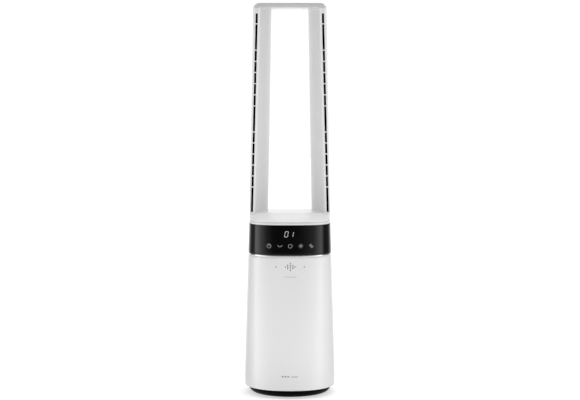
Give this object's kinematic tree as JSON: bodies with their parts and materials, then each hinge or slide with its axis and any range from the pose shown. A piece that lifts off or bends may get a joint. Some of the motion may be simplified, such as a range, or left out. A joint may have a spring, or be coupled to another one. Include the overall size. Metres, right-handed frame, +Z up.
{
  "type": "bladeless tower fan heater",
  "caption": "Bladeless tower fan heater: tapered round fan body on a low swivel base, gloss control band, and a tall open air loop with slotted columns.",
  "frame": {"origin": "centre of the footprint, on the floor", "axes": "+Z up, the control band and the outlet slots face -Y, +X is to the right seen from the front"},
  "size_m": [0.2188, 0.2187, 0.937],
  "materials": {
    "white_shell": "satin-gloss white moulded plastic",
    "black_gloss": "high-gloss black",
    "chrome_trim": "bright plated",
    "black_base": "satin black",
    "foot_rubber": "matt",
    "duct_black": "matt black",
    "ballast_steel": "plain",
    "bright_steel": "bright",
    "gear_resin": "natural acetal",
    "grey_resin": "plain moulded",
    "heat_resin": "heat-resistant moulded",
    "black_parts": "plain moulded",
    "circuit_board": "solder mask",
    "motor_can": "cast",
    "motor_copper": "wound wire",
    "heater_ceramic": "fired",
    "heater_fin": "corrugated sheet",
    "filter_media": "pleated"
  },
  "bodies": {
    "base": {"base_cover": "black_base", "base_weight": "ballast_steel", "base_deck": "black_base", "rubber_feet": "foot_rubber", "swing_gear": "gear_resin", "swing_post": "grey_resin", "post_retainer": "bright_steel", "lower_race": "bright_steel", "tip_switch": "black_parts", "cord_gland": "foot_rubber", "cord_clamp": "black_parts", "base_screws": "bright_steel"},
    "tower": {"tower_floor": "grey_resin", "upper_race": "bright_steel", "swing_motor": "motor_can", "front_shell": "white_shell", "rear_shell": "white_shell", "tower_screws": "bright_steel", "main_board": "circuit_board", "board_parts": "black_parts", "board_screws": "bright_steel", "chamber_floor": "grey_resin", "inlet_bell": "black_parts", "fan_housing": "grey_resin", "motor_pod": "black_parts", "motor_stator": "motor_copper", "motor_bearings": "bright_steel", "motor_cap": "motor_can", "heater_deck": "grey_resin", "heater_frame": "heat_resin", "ptc_elements": "heater_ceramic", "ptc_fins": "heater_fin", "thermal_cutout": "black_parts", "air_manifold": "black_parts", "manifold_gasket": "foot_rubber", "trim_ring": "chrome_trim", "control_band": "black_gloss", "display_board": "circuit_board", "digit_display": "black_parts", "touch_pads": "motor_copper", "collar_ring": "white_shell", "loop_base": "white_shell", "left_outer_shell": "white_shell", "right_outer_shell": "white_shell", "left_inner_shell": "white_shell", "right_inner_shell": "white_shell", "left_duct_liner": "duct_black", "right_duct_liner": "duct_black", "top_bar": "white_shell", "switch_housing": "black_parts"},
    "ball_cage": {"bearing_cage": "gear_resin", "bearing_balls": "bright_steel"},
    "tip_plunger": {"tip_plunger": "gear_resin"},
    "pinion": {"swing_pinion": "gear_resin"},
    "rotor": {"impeller": "black_parts", "motor_shaft": "bright_steel", "motor_rotor": "motor_can"},
    "intake_cover": {"intake_cover": "white_shell", "intake_filter": "filter_media"},
    "switch_rocker": {"switch_rocker": "black_parts"}
  },
  "joints": [
    {"name": "swing", "type": "hinge", "parent": "base", "child": "tower", "pos_m": [0, 0, 0.022], "axis": [0, 0, 1], "range_deg": [-40, 40]},
    {"name": "bearing_roll", "type": "hinge", "parent": "base", "child": "ball_cage", "pos_m": [0, 0, 0.019], "axis": [0, 0, 1], "range_deg": [-21, 21]},
    {"name": "tip_plunger_slide", "type": "slide", "parent": "base", "child": "tip_plunger", "axis": [0, 0, -1], "range_m": [0, 0.003], "stiffness_N_per_m": 150, "springref_m": 0.003},
    {"name": "pinion_spin", "type": "hinge", "parent": "tower", "child": "pinion", "pos_m": [0, 0.05635, 0.018], "axis": [0, 0, 1], "range_deg": [-165, 165]},
    {"name": "rotor_spin", "type": "hinge", "parent": "tower", "child": "rotor", "pos_m": [0, 0, 0.3], "axis": [0, 0, 1], "continuous": true},
    {"name": "intake_cover_tilt", "type": "hinge", "parent": "tower", "child": "intake_cover", "pos_m": [0, 0.107, 0.072], "axis": [-1, 0, 0], "range_deg": [0, 25]},
    {"name": "mains_rocker", "type": "hinge", "parent": "tower", "child": "switch_rocker", "pos_m": [0, 0.1034, 0.048], "axis": [1, 0, 0], "range_deg": [0, 16]}
  ],
  "couplings": [
    {"joint": "bearing_roll", "follows": "swing", "ratio": 0.5},
    {"joint": "pinion_spin", "follows": "swing", "ratio": 4}
  ]
}
